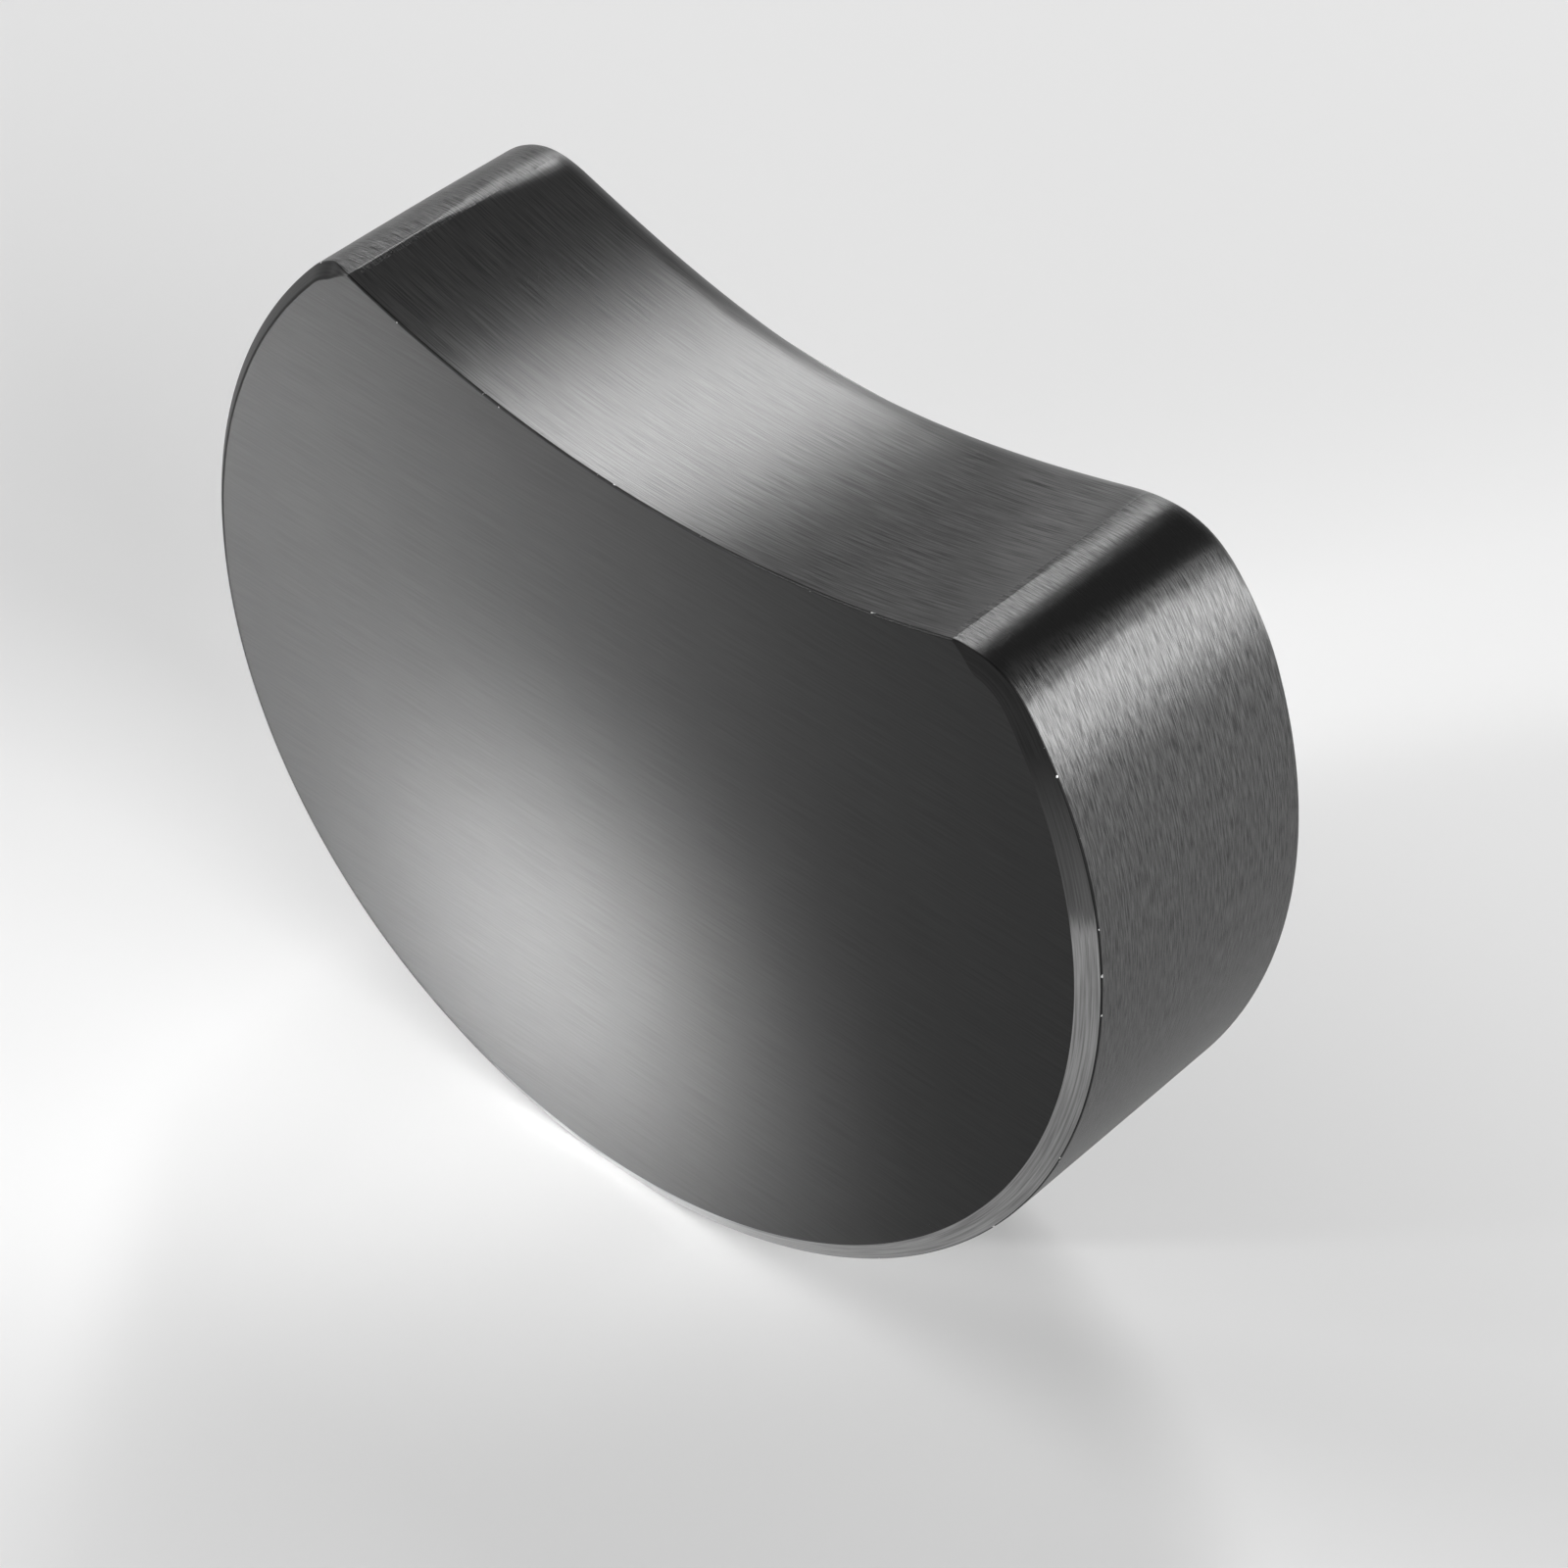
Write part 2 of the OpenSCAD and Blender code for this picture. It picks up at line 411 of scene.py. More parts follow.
def sweep(name, outline, stations, inset, depth, kinds, finishes, flat=()):
    """Carries a closed profile along the outline, from the first station to the last.

    inset and depth hold the profile's points for each station. A quad's grain map is the way across
    the profile and the way along the outline, or Z and X where its kind is in flat.
    """
    rows, columns = inset.shape
    points = place(outline, stations[:, None], inset, depth)
    quads = sweep_faces(rows, columns)
    step = np.diff(np.concatenate([inset, inset[:, :1]], 1), axis=1) ** 2
    step = step + np.diff(np.concatenate([depth, depth[:, :1]], 1), axis=1) ** 2
    across = np.cumsum(np.sqrt(step), axis=1)
    across = np.concatenate([np.zeros((rows, 1)), across], axis=1)
    r, c = np.meshgrid(np.arange(rows - 1), np.arange(columns), indexing="ij")
    corner_r = np.stack([r, r, r + 1, r + 1], -1)
    corner_c = np.stack([c, c + 1, c + 1, c], -1)
    path = np.stack([across[corner_r, corner_c], stations[corner_r]], -1).reshape(-1, 4, 2)
    face = points.reshape(-1, 3)[quads][:, :, [2, 0]]
    kind = np.tile(kinds, rows - 1)
    uv = np.where(np.isin(kind, flat)[:, None, None], face, path) / MM
    materials = [finish() for finish in finishes]
    return make_piece(name, points, quads, uv, kind, materials, end_caps(rows, columns))


def corner_curve(before, corner, after, reach):
    """A quadratic curve that rounds a corner, from reach before it to reach after it."""
    t = np.linspace(0.0, 1.0, CORNER_POINTS)[:, None, None]
    start = corner + unit(before - corner) * reach
    end = corner + unit(after - corner) * reach
    return (1 - t) ** 2 * start + 2 * t * (1 - t) * corner + t**2 * end


def front_profile(sheet, bevel_width, bevel_depth):
    """A front bead's closed profile: face, rounded edge, bevel, rounded edge, side, root.

    Points are inset and depth at each station, and each quad gets the kind of surface that it is on.
    """
    # A rounding takes at most these shares of the bevel and of the surface beside it
    bevel_share = 0.45
    beside_share = 0.7
    # A row of points this far beside the first rounding keeps the face's shading flat
    support_gap = 0.02 * MM
    width, depth = sheet.bead_width, sheet.bead_depth
    n = len(bevel_width)
    zero = np.zeros(n)
    start = np.stack([np.full(n, width), zero], -1)
    top = np.stack([bevel_width, zero], -1)
    side = np.stack([zero, bevel_depth], -1)
    end = np.stack([zero, np.full(n, depth)], -1)
    root = np.stack([np.full(n, width), np.full(n, depth)], -1)
    most = np.hypot(bevel_width, bevel_depth) * bevel_share
    on_face = np.minimum(np.minimum(most, FACE_ROUND), (width - bevel_width) * beside_share)
    on_side = np.minimum(np.minimum(most, SIDE_ROUND), (depth - bevel_depth) * beside_share)
    first = corner_curve(start, top, side, on_face[:, None])
    second = corner_curve(top, side, end, on_side[:, None])
    support = first[0] + unit(start - top) * support_gap
    middle = (first[-1] + second[0]) / 2
    points = np.stack([start, support, *first, middle, *second, end, root], axis=1)
    kinds = [FACE] * 2 + [BEVEL] * (CORNER_POINTS + 1) + [ROUNDED] * (CORNER_POINTS - 1)
    kinds = np.array(kinds + [SIDE, ROOT, ROOT])
    return points[..., 0], points[..., 1], kinds


def strip_profile(sheet, radius):
    """A strip's closed profile: outside from the front bead to the back one, and back inside.

    The outside follows the rounded back edge: at a depth b past the rounding's centre, the inset is the
    radius less the square root of radius squared less b squared.
    """
    first = sheet.bead_depth
    last = THICK - sheet.bead_depth
    rows = len(radius)
    radius = radius[:, None]
    outer = np.tile(spread(first, last, DEPTH_STEP), (rows, 1))
    past = np.maximum(outer - (THICK - radius), 0)
    inset = radius - np.sqrt(radius**2 - past**2)
    inset = np.concatenate([inset, np.full((rows, 2), sheet.sheet)], axis=1)
    depth = np.concatenate([outer, np.tile([last, first], (rows, 1))], axis=1)
    return inset, depth


def back_profile(sheet, radius):
    """A back bead's closed profile: up the side, round the edge and in along the back face.

    The way runs straight to the rounding, round it by its angle, and straight on, in even steps. A bead
    that is narrower than the rounding starts and ends part of the way round.
    """
    width, depth = sheet.bead_width, sheet.bead_depth
    radius = radius[:, None]
    turn_in = np.arcsin(np.clip((radius - depth) / radius, 0, 1))
    turn_out = np.arccos(np.clip((radius - width) / radius, 0, 1))
    up = np.maximum(depth - radius, 0)
    curve = radius * (turn_out - turn_in)
    along = np.maximum(width - radius, 0)
    way = np.linspace(0, 1, BACK_POINTS) * (up + curve + along)
    turn = turn_in + np.clip(way - up, 0, curve) / radius
    inset = radius * (1 - np.cos(turn)) + np.maximum(way - (up + curve), 0)
    level = THICK - radius * (1 - np.sin(turn)) - np.maximum(up - way, 0)
    root = np.full(radius.shape, width)
    low = np.full(radius.shape, THICK - depth)
    return np.concatenate([inset, root], 1), np.concatenate([level, low], 1)


def bevel_sizes(outline, s):
    """Width and depth of the bevel at s, which was ground by hand.

    It grows from nothing at the left crease and widens towards the base. From the right crease it is
    wide but shallow at first and gets its full depth only after a long run.
    """
    # Share of the way from the left crease to the base after which the base's width sets in
    base_late = 0.2
    # The right width sets in this many shallow runs before the right crease
    right_early = 1.3
    # A power below 1 makes the bevel's ends by the creases blunter
    bluntness = 0.8
    sheet = outline.sheet
    far = np.maximum(outline.right_crease - s, 0.0)
    to_base = smooth_step(s / (outline.right_crease / 2) - base_late)
    to_right = smooth_step(right_early - far / sheet.shallow)
    full = sheet.bevel_left + (sheet.bevel_base - sheet.bevel_left) * to_base
    full = full + (sheet.bevel_right - sheet.bevel_base) * to_right
    left = smooth_step(s / sheet.run_out)
    grow = np.minimum(left, smooth_step(far / sheet.run_out)) ** bluntness
    slow = np.minimum(left, smooth_step(far / sheet.shallow))
    width = sheet.edge + (full - sheet.edge) * grow
    depth = sheet.edge + (sheet.bevel_depth - sheet.edge) * slow
    return width, depth


def add_node(tree, kind, settings=(), links=()):
    """Adds a node, sets its values and its inputs, and links sockets into it."""
    node = tree.nodes.new(kind)
    for key, value in dict(settings).items():
        if isinstance(key, str) and hasattr(node, key):
            setattr(node, key, value)
        else:
            node.inputs[key].default_value = value
    for key, socket in dict(links).items():
        tree.links.new(socket, node.inputs[key])
    return node


def brushed_steel(
    name, tints, roughness, brushing, spacing, streak, contrast, scatter, relief, ground=None, nick=None
):
    """Dark coated stainless steel, brushed with a belt along its length, made once for each name.

    The coating makes it near black with a metal's reflections, and the brushing draws every highlight
    out across its lines and breaks its border up into fine streaks. Spacing, streak length and relief
    are in millimetres: real grit lines lie 0.02 to 0.05 apart, drawn coarser here so that they show.
    Contrast is how far the streaks differ in colour, and scatter how far they differ in roughness.
    Ground, where given, has a second pair of tints with the span along the outline that they cover; the
    finishes use it for painted highlight, shade and reflection and for the saddle's scores.
    Nick is the tint of the few specks where the coating is chipped.
    """
    if name in bpy.data.materials:
        return bpy.data.materials[name]
    material = bpy.data.materials.new(name)
    material.use_nodes = True
    tree = material.node_tree
    tree.nodes.clear()
    grain = add_node(tree, "ShaderNodeUVMap", {"uv_map": GRAIN}).outputs["UV"]
    fine_at = add_node(
        tree, "ShaderNodeMapping", {"Scale": (1 / spacing, 1 / streak, 1.0)}, {"Vector": grain}
    ).outputs["Vector"]
    fine = add_node(
        tree,
        "ShaderNodeTexNoise",
        {"noise_dimensions": "2D", "Scale": 1.0, "Detail": 3.0, "Roughness": 0.6},
        {"Vector": fine_at},
    ).outputs[0]
    # The noise keeps mostly between 0.3 and 0.7, which become the two ends of each property
    varied = []
    for middle, half in ((0.5, contrast / 2), (roughness, scatter)):
        ends = {"From Min": 0.3, "From Max": 0.7, "To Min": middle - half, "To Max": middle + half}
        varied.append(add_node(tree, "ShaderNodeMapRange", ends, {"Value": fine}).outputs["Result"])
    worn, rough = varied
    mixed = []
    for dark, light in (tints, ground["tints"]) if ground else (tints,):
        ends = {"data_type": "RGBA", 6: (*dark, 1.0), 7: (*light, 1.0)}
        mixed.append(add_node(tree, "ShaderNodeMix", ends, {0: worn}).outputs[2])
    tint = tint_along_span(tree, *mixed, grain, fine, ground) if ground else mixed[0]
    if nick is not None:
        tint = nicked_tint(tree, tint, nick, grain)
    bumps = add_node(
        tree, "ShaderNodeBump", {"Strength": 1.0, "Distance": relief * MM}, {"Height": fine}
    ).outputs["Normal"]
    tangent = add_node(
        tree, "ShaderNodeTangent", {"direction_type": "UV_MAP", "uv_map": GRAIN}
    ).outputs["Tangent"]
    shader = add_node(
        tree,
        "ShaderNodeBsdfPrincipled",
        {"Metallic": 1.0, "Anisotropic": brushing},
        {"Base Color": tint, "Roughness": rough, "Normal": bumps, "Tangent": tangent},
    ).outputs["BSDF"]
    add_node(tree, "ShaderNodeOutputMaterial", (), {"Surface": shader})
    return material


def tint_along_span(tree, coated, bright, grain, fine, span):
    """The span's tints before its end along the outline and the base tints past it, with a ragged
    border.

    All in millimetres. The streaks shift a border by ragged, and slant moves it from front to back.
    The end sets in over end_run. Where they are given, the span begins at start over start_run, the
    span's tints stay mixed in by the share worn over worn_run past the end, and from again on
    they are full once more. The finishes paint with it: a painted highlight among the saddle's
    scores, painted shade at the band's right tip, and on the bevel a painted reflection round the
    base with painted shade under the horns.
    """
    axes = add_node(tree, "ShaderNodeSeparateXYZ", (), {0: grain}).outputs
    slanted = add_node(
        tree,
        "ShaderNodeMath",
        {"operation": "MULTIPLY_ADD", 1: span["slant"]},
        {0: axes["X"], 2: axes["Y"]},
    ).outputs[0]
    at = add_node(
        tree, "ShaderNodeMath", {"operation": "MULTIPLY_ADD", 1: span["ragged"]}, {0: fine, 2: slanted}
    ).outputs[0]
    # The streaks' noise has its middle at a half
    shift = span["ragged"] / 2
    end = span["end"] + shift
    run = span["end_run"]
    # How each border joins those before it, what it reads, where it is 0, where it is full, its height
    borders = [("MAXIMUM", at, end + run / 2, end - run / 2, 1.0)]
    if "worn" in span:
        borders.append(("MAXIMUM", at, end + span["worn_run"], end, span["worn"]))
    if "start" in span:
        start = span["start"] + shift
        half = span["start_run"] / 2
        borders.append(("MULTIPLY", at, start - half, start + half, 1.0))
    if "again" in span:
        borders.append(("MAXIMUM", axes["Y"], span["again"], span["again"] + run, 1.0))
    share = None
    for operation, value, none, full, height in borders:
        ends = {"From Min": none, "From Max": full, "To Max": height}
        border = add_node(tree, "ShaderNodeMapRange", ends, {"Value": value}).outputs["Result"]
        if share is not None:
            joined = add_node(tree, "ShaderNodeMath", {"operation": operation}, {0: share, 1: border})
            border = joined.outputs[0]
        share = border
    # The base tints, which are painted shade at the band's right tip and under the bevel's horns, and
    # the span's tints
    links = {0: share, 6: coated, 7: bright}
    return add_node(tree, "ShaderNodeMix", {"data_type": "RGBA"}, links).outputs[2]


def nicked_tint(tree, coated, bare, grain):
    """Bare metal in specks of about a third of a millimetre, where a noise peaks.

    The noise has 2.6 cells to a millimetre and passes 0.76 at few places only.
    """
    chips = add_node(
        tree,
        "ShaderNodeTexNoise",
        {"noise_dimensions": "2D", "Scale": 2.6, "Detail": 1.0},
        {"Vector": grain},
    ).outputs[0]
    share = add_node(
        tree, "ShaderNodeMapRange", {"From Min": 0.76, "From Max": 0.79}, {"Value": chips}
    ).outputs["Result"]
    settings = {"data_type": "RGBA", 7: (*bare, 1.0)}
    return add_node(tree, "ShaderNodeMix", settings, {0: share, 6: coated}).outputs[2]


def brushed_plate():
    """Dark coated plate, brushed finely from horn to horn: an even, silky face, tinted darker than the
    strips as painted shade.
    """
    finish = bpy.context.scene.rest_finish
    return brushed_steel(
        "brushed_plate",
        (finish.plate, finish.plate_worn),
        roughness=0.38,
        brushing=finish.brushing,
        spacing=0.08,
        streak=3.0,
        contrast=0.4,
        scatter=0.01,
        relief=0.001,
    )


def brushed_band():
    """Dark coated strip, brushed coarsely along its length, with short crisp streaks.

    From a ragged line about 2 mm before the right crease to 1 mm before it, the tint is darker and has
    no light streaks: painted shade for the dark zone on the right horn's tip, whose ragged border is a
    painted edge of the band's highlight.
    """
    finish = bpy.context.scene.rest_finish
    crease = rest_outline().right_crease / MM
    ground = {
        "tints": (finish.steel, finish.steel_worn),
        "end": crease - 2.0,
        "end_run": 0.35,
        "ragged": 1.6,
        "slant": 0.09,
        "again": crease - 1.0,
    }
    return brushed_steel(
        "brushed_band",
        (finish.tip_painted_shade, finish.steel),
        # Darker tints at the right horn's tip: painted shade
        roughness=0.35,
        brushing=finish.brushing,
        spacing=0.065,
        streak=0.9,
        contrast=1.1,
        scatter=0.05,
        relief=0.02,
        ground=ground,
    )


def brushed_saddle():
    """Dark coated strip, brushed from horn to horn with longer streaks.

    Coarse light streaks by the right horn, most of them towards the back: partly scores left where the
    belt turned, partly a painted highlight where the rounded back edge catches the light.
    """
    finish = bpy.context.scene.rest_finish
    ground = {
        # Light scored streaks by the right horn: partly real scores, partly a painted highlight
        "tints": (finish.plate, finish.scores_and_sheen),
        "end": rest_outline().right_crease / MM - 2.5,
        "end_run": 7.0,
        "ragged": 5.0,
        "slant": -0.6,
    }
    return brushed_steel(
        "brushed_saddle",
        (finish.steel, finish.steel_worn),
        roughness=0.31,
        brushing=finish.brushing,
        spacing=0.06,
        streak=2.4,
        contrast=0.6,
        scatter=0.03,
        relief=0.006,
        ground=ground,
    )


def bevel_with_painted_light():
    """The ground weld bevel, tinted lighter round the base as a painted reflection and darker under
    both horns as painted shade.

    The lighter tint sets in slowly on the left and stops at a ragged step on the right, above which a
    little of it stays mixed in for a while.
    """
    # Share of the way from the left crease to the right one at which the painted reflection sets in
    start = 0.42
    finish = bpy.context.scene.rest_finish
    outline = rest_outline()
    crease = outline.right_crease / MM
    ground = {
        # Lighter tints round the base: painted reflection
        "tints": (finish.bevel, finish.bevel_sheen_streaks),
        "start": crease * start,
        "start_run": 9.0,
        "end": crease - outline.sheet.bright_from / MM,
        "end_run": 1.0,
        "ragged": 3.0,
        "slant": 0.0,
        # Share of the painted reflection kept over a tail past its end
        "worn": 0.35,
        "worn_run": 6.5,
    }
    return brushed_steel(
        "bevel_with_painted_light",
        # Darker tints under the horns: painted shade
        (finish.bevel_painted_shade, finish.plate),
        roughness=0.38,
        brushing=0.8,
        spacing=0.08,
        streak=4.0,
        contrast=1.0,
        scatter=0.03,
        relief=0.004,
        ground=ground,
    )


def heat_line():
    """Weld metal darkened by heat along the ground edges: a thin dull line with a few bright nicks."""
    finish = bpy.context.scene.rest_finish
    return brushed_steel(
        "heat_line",
        (finish.edge, finish.plate),
        roughness=0.40,
        brushing=0.3,
        spacing=0.06,
        streak=2.0,
        contrast=0.5,
        scatter=0.03,
        relief=0.002,
        nick=finish.bare,
    )


def build_plate(outline, name, front):
    """A flat plate: columns from the lower outline to the upper one, both moved in by the bead's width.

    Column a runs from the left crease to the right one, and its height is the straight line between the
    point on the rim's side and the point on the saddle's side. At the back, a point at distance i from
    the outline lies on the rounded edge: its depth is reduced by the radius less the square root of
    radius squared less (radius less i) squared.
    """
    sheet = outline.sheet
    a = np.linspace(0.0, 1.0, PLATE_COLUMNS + 2)[1:-1]
    lower = a * outline.right_crease
    upper = outline.total - a * (outline.total - outline.right_crease)
    t = smooth_step(np.linspace(0.0, 1.0, PLATE_ROWS))
    skin, back = (0.0, sheet.sheet) if front else (THICK, THICK - sheet.sheet)
    low = place(outline, lower, sheet.bead_width, skin)
    high = place(outline, upper, sheet.bead_width, skin)
    outer = low[:, None] * (1 - t[:, None]) + high[:, None] * t[:, None]
    if not front:
        column = np.linalg.norm(high - low, axis=-1)[:, None]
        for ends, share in ((lower, t), (upper, 1 - t)):
            radius = back_rounding(outline, ends)[:, None]
            short = np.maximum(radius - sheet.bead_width - column * share, 0)
            outer[..., 1] -= radius - np.sqrt(radius**2 - short**2)
    inner = outer[:, ::-1].copy()
    inner[..., 1] = CAD_LOW.y + back
    points = np.concatenate([outer, inner], axis=1)
    rows, columns = points.shape[:2]
    quads = sweep_faces(rows, columns)
    caps = end_caps(rows, columns)
    if front:
        quads = quads[:, ::-1]
        caps = [cap[::-1] for cap in caps]
    uv = points.reshape(-1, 3)[quads][:, :, [2, 0]] / MM
    kinds = np.zeros(len(quads), np.int32)
    return make_piece(name, points, quads, uv, kinds, [brushed_plate()], caps)


def build_strip(outline, name, start, end, finish, step=STRIP_STEP):
    """A bent strip between two stations of the outline, as deep as the space between the beads."""
    stations = spread(start, end, step)
    inset, depth = strip_profile(outline.sheet, back_rounding(outline, stations))
    kinds = np.zeros(inset.shape[1], np.int32)
    return sweep(name, outline, stations, inset, depth, kinds, [finish])


def build_back_bead(outline, name, start, end, finish):
    """A back bead between two stations, ground round with the back edge."""
    stations = spread(start, end, STRIP_STEP)
    inset, depth = back_profile(outline.sheet, back_rounding(outline, stations))
    kinds = np.zeros(inset.shape[1], np.int32)
    return sweep(name, outline, stations, inset, depth, kinds, [finish])


def build_front_rim(outline, name):
    """The bead round the convex outline, ground to a bevel that runs out at each crease."""
    stations = spread(0.0, outline.right_crease, BEAD_STEP)
    inset, depth, kinds = front_profile(outline.sheet, *bevel_sizes(outline, stations))
    finishes = [brushed_plate, bevel_with_painted_light, brushed_band, brushed_band, heat_line]
    return sweep(name, outline, stations, inset, depth, kinds, finishes, flat=(FACE,))


def build_front_edge(outline, name):
    """The bead along the saddle, ground flush with the face and with the saddle."""
    stations = spread(outline.right_crease, outline.total, BEAD_STEP)
    broken = np.full(len(stations), outline.sheet.edge)
    inset, depth, kinds = front_profile(outline.sheet, broken, broken)
    finishes = [brushed_plate, heat_line, brushed_saddle, brushed_saddle, heat_line]
    return sweep(name, outline, stations, inset, depth, kinds, finishes, flat=(FACE,))


class REST_OT_plates(bpy.types.Operator):
    """Builds the flat front and back plates"""

    bl_idname = "rest.plates"
    bl_label = "Plates"

    def execute(self, context):
        outline = rest_outline()
        stand_in(build_plate(outline, "front_face", True), "front_plate")
        stand_in(build_plate(outline, "back_face", False), "back_plate")
        return {"FINISHED"}


class REST_OT_band(bpy.types.Operator):
    """Builds the strip round the convex outline, turned over at both horns"""

    bl_idname = "rest.band"
    bl_label = "Band"

    def execute(self, context):
        outline = rest_outline()
        half = outline.sheet.horn_bead / 2
        band = build_strip(outline, "band", half, outline.right_crease - half, brushed_band)
        stand_in(band, "rim_band")
        return {"FINISHED"}


class REST_OT_saddle(bpy.types.Operator):
    """Builds the concave strip that the chopsticks lie on"""

    bl_idname = "rest.saddle"
    bl_label = "Saddle"

    def execute(self, context):
        outline = rest_outline()
        half = outline.sheet.horn_bead / 2
        start = outline.right_crease + half
        saddle = build_strip(outline, "saddle", start, outline.total - half, brushed_saddle)
        stand_in(saddle, "saddle_plate")
        return {"FINISHED"}


class REST_OT_rim_beads(bpy.types.Operator):
    """Builds the ground bevel in front and the flush bead at the back"""

    bl_idname = "rest.rim_beads"
    bl_label = "Rim beads"

    def execute(self, context):
        outline = rest_outline()
        stand_in(build_front_rim(outline, "front_bevel"), "front_rim_weld")
        back = build_back_bead(outline, "back_rim", 0.0, outline.right_crease, brushed_band)
        stand_in(back, "back_rim_weld")
        return {"FINISHED"}


class REST_OT_saddle_beads(bpy.types.Operator):
    """Builds the flush beads along the saddle's two edges"""

    bl_idname = "rest.saddle_beads"
    bl_label = "Saddle edges"

    def execute(self, context):
        outline = rest_outline()
        stand_in(build_front_edge(outline, "front_edge"), "front_saddle_weld")
        start, end = outline.right_crease, outline.total
        back = build_back_bead(outline, "back_edge", start, end, brushed_saddle)
        stand_in(back, "back_saddle_weld")
        return {"FINISHED"}


class REST_OT_horn_beads(bpy.types.Operator):
    """Builds the beads along the two creases"""

    bl_idname = "rest.horn_beads"
    bl_label = "Creases"

    def execute(self, context):
        outline = rest_outline()
        half = outline.sheet.horn_bead / 2
        for name, node, at in (
            ("left_crease", "left_horn_weld", 0.0),
            ("right_crease", "right_horn_weld", outline.right_crease),
        ):
            bead = build_strip(outline, name, at - half, at + half, brushed_band, CREASE_STEP)
            stand_in(bead, node)
        return {"FINISHED"}


def direction(azimuth, elevation):
    """Unit vector from the rest at an angle round it, from straight in front, and an angle up."""
    flat = np.cos(elevation)
    return Vector((np.sin(azimuth) * flat, -np.cos(azimuth) * flat, np.sin(elevation)))


def soft_lamp(name, azimuth, elevation, away, size, radiance, aim, grid=180.0):
    """A soft box that faces its aim: angles in degrees, sizes in metres, its surface's brightness.

    A grid under 180 degrees stands for a honeycomb, which keeps the light on what it is aimed at.
    """
    light = bpy.data.lights.new(name, "AREA")
    light.shape = "RECTANGLE"
    light.size, light.size_y = size
    light.energy = radiance * np.pi * size[0] * size[1]
    light.spread = np.radians(grid)
    lamp = bpy.data.objects.new(name, light)
    way = direction(np.radians(azimuth), np.radians(elevation))
    lamp.location = aim + way * away
    lamp.rotation_mode = "QUATERNION"
    lamp.rotation_quaternion = (-way).to_track_quat("-Z", "Y")
    lamp.visible_camera = False
    bpy.context.scene.collection.objects.link(lamp)


def soft_boxes():
    """Four larger boxes round the rest, which its curved surfaces show as bands of light."""
    away = 0.45
    aim = (CAD_LOW + CAD_HIGH) / 2
    soft_lamp("back_box", 216.0, 44.0, away, size=(0.045, 0.26), radiance=17.0, aim=aim)
    soft_lamp("side_box", 125.0, 13.5, away, size=(0.30, 0.075), radiance=10.5, aim=aim)
    soft_lamp("left_box", -68.0, 32.0, away, size=(0.25, 0.28), radiance=3.2, aim=aim)
    soft_lamp("right_box", 76.0, 28.0, away, size=(0.30, 0.29), radiance=4.3, aim=aim)


def near_boxes():
    """Three small boxes with grids, low in front on the left, for the soft patch on the face."""
    away = 0.155
    elevation = 12.0

    def on_face(x, z):
        """A place on the front face, in millimetres from the foot's middle."""
        return Vector((x * MM, CAD_LOW.y, CAD_LOW.z + z * MM))

    wide = (0.03, 0.05)
    small = (0.012, 0.012)
    middle, left, right = on_face(-9.0, 8.0), on_face(-18.0, 14.0), on_face(-4.0, 8.0)
    soft_lamp("near_box", -32.0, elevation, away, wide, radiance=0.50, aim=middle, grid=14.0)
    soft_lamp("rim_box", -40.0, elevation, away, wide, radiance=1.08, aim=left, grid=14.0)
    soft_lamp("spot_box", -28.0, elevation, away, small, radiance=4.8, aim=right, grid=10.0)


def matt_paper(tint):
    """Matt white paper: it keeps the shadow near the rest and turns to plain white further out."""
    # Distances from the rest between which the paper turns to plain white, in metres
    near, far = 0.05, 0.30
    material = bpy.data.materials.new("matt_paper")
    material.use_nodes = True
    tree = material.node_tree
    tree.nodes.clear()
    matt = add_node(tree, "ShaderNodeBsdfDiffuse", {"Color": (*tint, 1.0)}).outputs["BSDF"]
    glow = {"Color": (1.0, 1.0, 1.0, 1.0), "Strength": 1.0}
    white = add_node(tree, "ShaderNodeEmission", glow).outputs["Emission"]
    at = add_node(tree, "ShaderNodeTexCoord").outputs["Object"]
    away = add_node(tree, "ShaderNodeVectorMath", {"operation": "LENGTH"}, {0: at}).outputs["Value"]
    turned = add_node(
        tree,
        "ShaderNodeMapRange",
        {"interpolation_type": "SMOOTHSTEP", "From Min": near, "From Max": far},
        {"Value": away},
    ).outputs["Result"]
    path = add_node(tree, "ShaderNodeLightPath").outputs
    seen = path["Is Camera Ray"]
    for other in ("Is Glossy Ray", "Is Transmission Ray"):
        links = {0: seen, 1: path[other]}
        seen = add_node(tree, "ShaderNodeMath", {"operation": "MAXIMUM"}, links).outputs[0]
    links = {0: turned, 1: seen}
    share = add_node(tree, "ShaderNodeMath", {"operation": "MULTIPLY"}, links).outputs[0]
    both = add_node(tree, "ShaderNodeMixShader", (), {0: share, 1: matt, 2: white}).outputs["Shader"]
    add_node(tree, "ShaderNodeOutputMaterial", (), {"Surface": both})
    return material


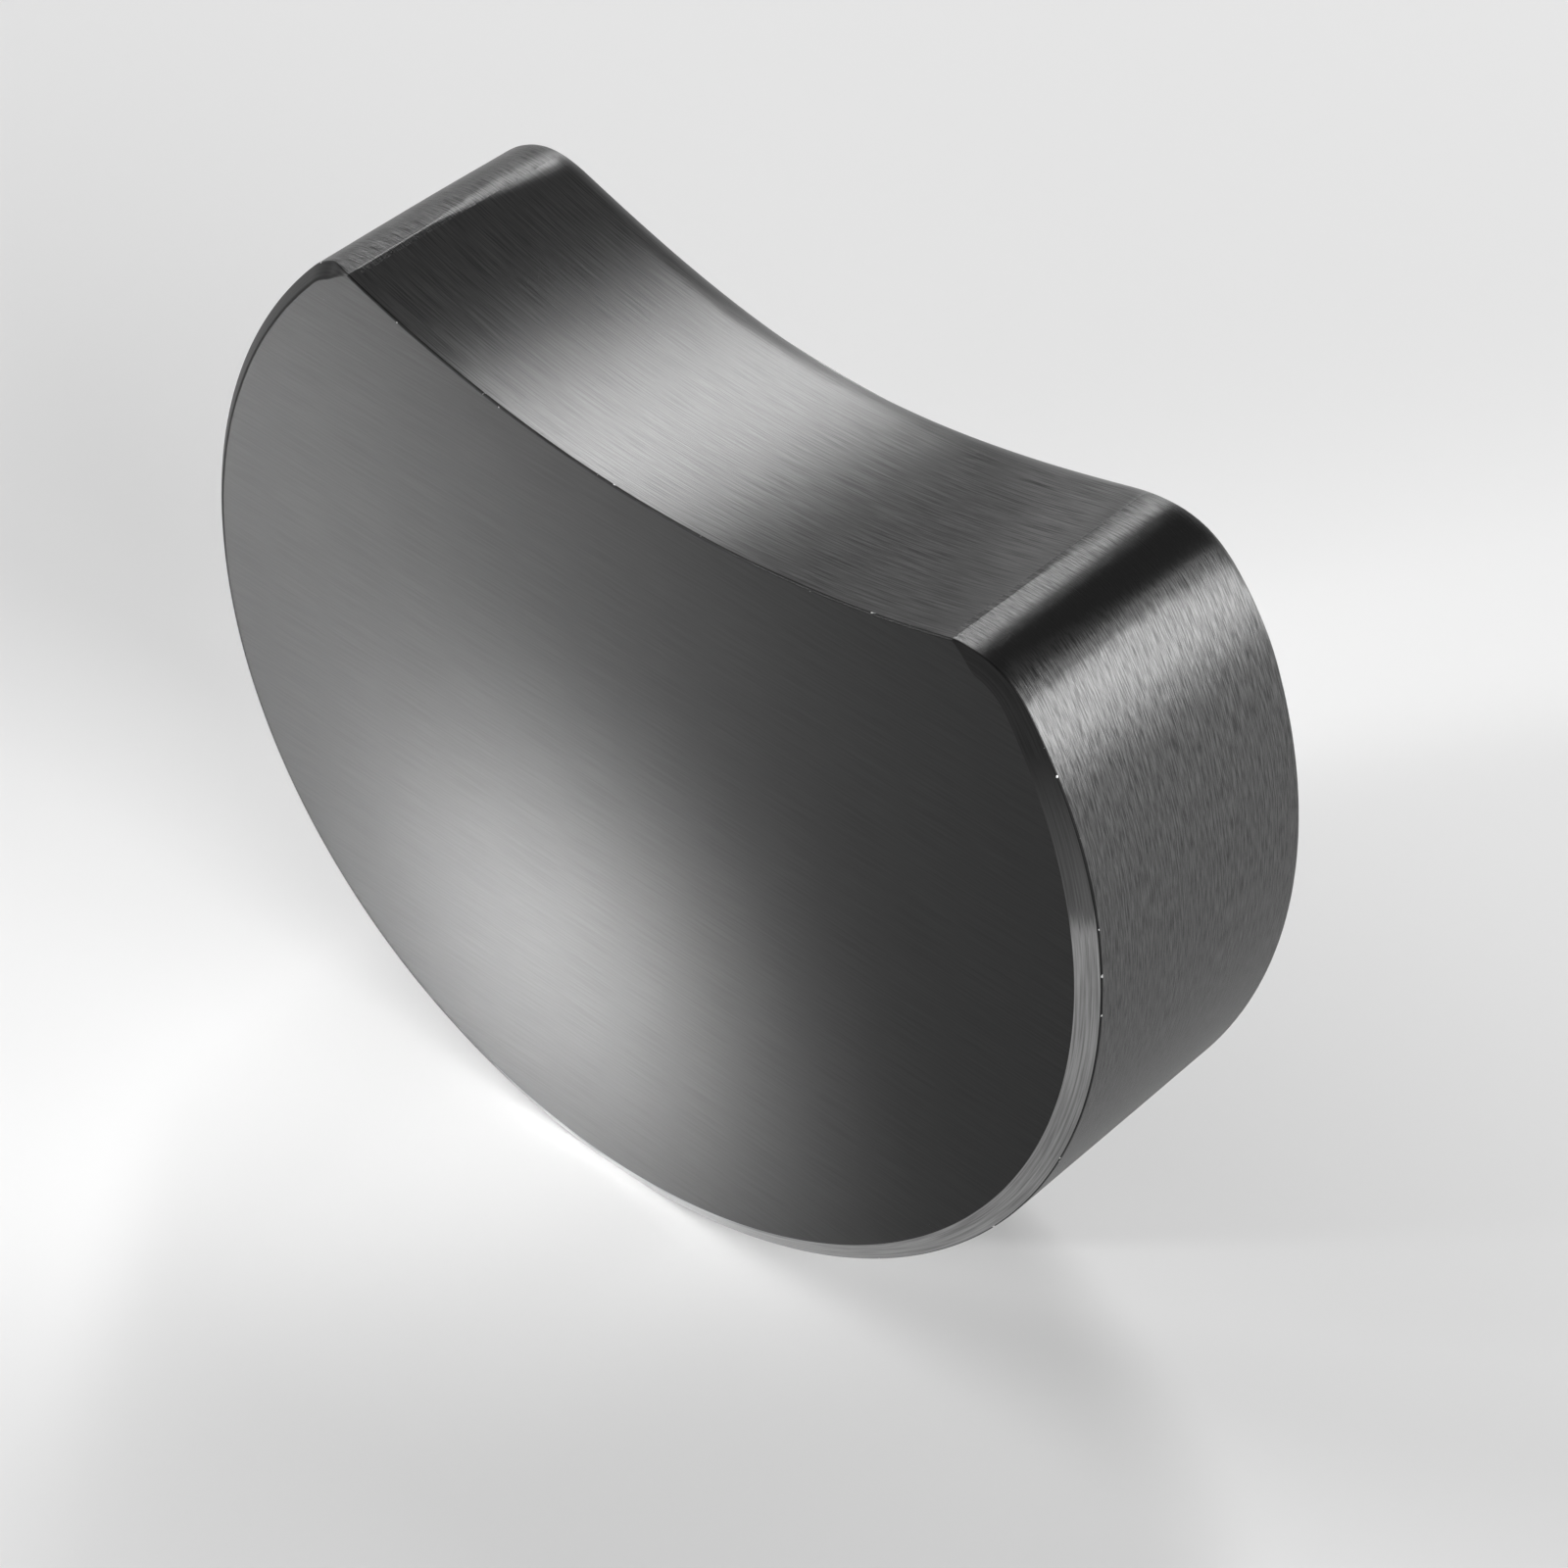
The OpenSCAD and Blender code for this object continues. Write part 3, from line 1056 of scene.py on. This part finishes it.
def studio_room():
    """White walls at the horizon and a dim ceiling above the lamps."""
    # Upward parts of the direction between which the walls turn into the ceiling, and its strength
    low, high = 0.0, 0.25
    ceiling = 0.22
    world = bpy.data.worlds.new("studio_room")
    world.use_nodes = True
    tree = world.node_tree
    tree.nodes.clear()
    way = add_node(tree, "ShaderNodeTexCoord").outputs["Generated"]
    height = add_node(tree, "ShaderNodeSeparateXYZ", (), {0: way}).outputs["Z"]
    ends = {"From Min": low, "From Max": high, "To Min": 1.0, "To Max": ceiling}
    dim = add_node(
        tree, "ShaderNodeMapRange", {"interpolation_type": "SMOOTHSTEP", **ends}, {"Value": height}
    ).outputs["Result"]
    white = {"Color": (1.0, 1.0, 1.0, 1.0)}
    light = add_node(tree, "ShaderNodeBackground", white, {"Strength": dim}).outputs[0]
    add_node(tree, "ShaderNodeOutputWorld", (), {"Surface": light})
    bpy.context.scene.world = world


def floor_disc(tint):
    """A round floor: rings whose radius grows with the square of their number, round one point."""
    rings = np.linspace(0.0, 1.0, FLOOR_RINGS + 1)[1:] ** 2 * FLOOR_RADIUS
    turn = np.linspace(0.0, 2 * np.pi, FLOOR_SIDES + 1)[:-1]
    x = np.concatenate([[0.0], (rings[:, None] * np.cos(turn)).ravel()])
    y = np.concatenate([[0.0], (rings[:, None] * np.sin(turn)).ravel()])
    points = np.stack([x, y, np.full_like(x, CAD_LOW.z)], -1)
    here = np.arange(FLOOR_SIDES)
    after = (here + 1) % FLOOR_SIDES
    faces = [(0, int(i) + 1, int(j) + 1) for i, j in zip(here, after)]
    for ring in range(FLOOR_RINGS - 1):
        inner = 1 + ring * FLOOR_SIDES
        outer = inner + FLOOR_SIDES
        quads = np.stack([inner + here, outer + here, outer + after, inner + after], -1)
        faces += [tuple(q) for q in quads.tolist()]
    mesh = bpy.data.meshes.new("floor")
    mesh.from_pydata(points.tolist(), [], faces)
    mesh.materials.append(matt_paper(tint))
    floor = bpy.data.objects.new("floor", mesh)
    bpy.context.scene.collection.objects.link(floor)


def add_camera(stage):
    """A long lens at the given angles round the middle of the front face."""
    data = bpy.data.cameras.new("camera")
    data.lens = stage.focal
    data.clip_start = 0.01
    data.clip_end = 10.0
    camera = bpy.data.objects.new("camera", data)
    bpy.context.scene.collection.objects.link(camera)
    middle = (CAD_LOW + CAD_HIGH) / 2
    face = Vector((middle.x, CAD_LOW.y, CAD_LOW.z + (CAD_HIGH.x - CAD_LOW.x) / 2))
    camera.location = face + direction(stage.azimuth, stage.elevation) * stage.distance
    aim = Vector((stage.aim_side, 0.0, stage.aim_up))
    look = (aim - camera.location).normalized()
    right = look.cross(Vector((0.0, 0.0, 1.0))).normalized()
    up = right.cross(look)
    across = right * np.cos(stage.roll) + up * np.sin(stage.roll)
    above = up * np.cos(stage.roll) - right * np.sin(stage.roll)
    turn = Matrix((across, above, -look)).transposed()
    camera.rotation_mode = "QUATERNION"
    camera.rotation_quaternion = turn.to_quaternion()
    bpy.context.scene.camera = camera


class REST_OT_stage(bpy.types.Operator):
    """Sets the floor, the lamps, the room and the camera"""

    bl_idname = "rest.stage"
    bl_label = "Stage"

    def execute(self, context):
        stage = context.scene.rest_stage
        floor_disc(stage.floor)
        studio_room()
        soft_boxes()
        near_boxes()
        add_camera(stage)
        context.scene.view_settings.view_transform = "Standard"
        return {"FINISHED"}


class REST_PT_panel(bpy.types.Panel):
    """Lists the steps that build the rest"""

    bl_label = "Chopstick rest"
    bl_idname = "REST_PT_panel"
    bl_space_type = "VIEW_3D"
    bl_region_type = "UI"
    bl_category = "Chopstick rest"

    def draw(self, context):
        layout = self.layout
        for step in STEPS:
            layout.operator(step.bl_idname)
        for group, name in GROUPS.items():
            for value in group.__annotations__:
                layout.prop(getattr(context.scene, name), value)


GROUPS = {
    RestShape: "rest_shape",
    RestSheet: "rest_sheet",
    RestFinish: "rest_finish",
    RestStage: "rest_stage",
}
STEPS = (
    REST_OT_stage,
    REST_OT_plates,
    REST_OT_band,
    REST_OT_saddle,
    REST_OT_rim_beads,
    REST_OT_saddle_beads,
    REST_OT_horn_beads,
)


def register():
    for kind in (*GROUPS, *STEPS, REST_PT_panel):
        bpy.utils.register_class(kind)
    for group, name in GROUPS.items():
        setattr(bpy.types.Scene, name, PointerProperty(type=group))


def unregister():
    for name in GROUPS.values():
        delattr(bpy.types.Scene, name)
    for kind in (REST_PT_panel, *reversed(STEPS), *reversed(list(GROUPS))):
        bpy.utils.unregister_class(kind)


def main():
    register()
    bpy.ops.rest.stage()
    bpy.ops.rest.plates()
    bpy.ops.rest.band()
    bpy.ops.rest.saddle()
    bpy.ops.rest.rim_beads()
    bpy.ops.rest.saddle_beads()
    bpy.ops.rest.horn_beads()


if __name__ == "__main__":
    main()
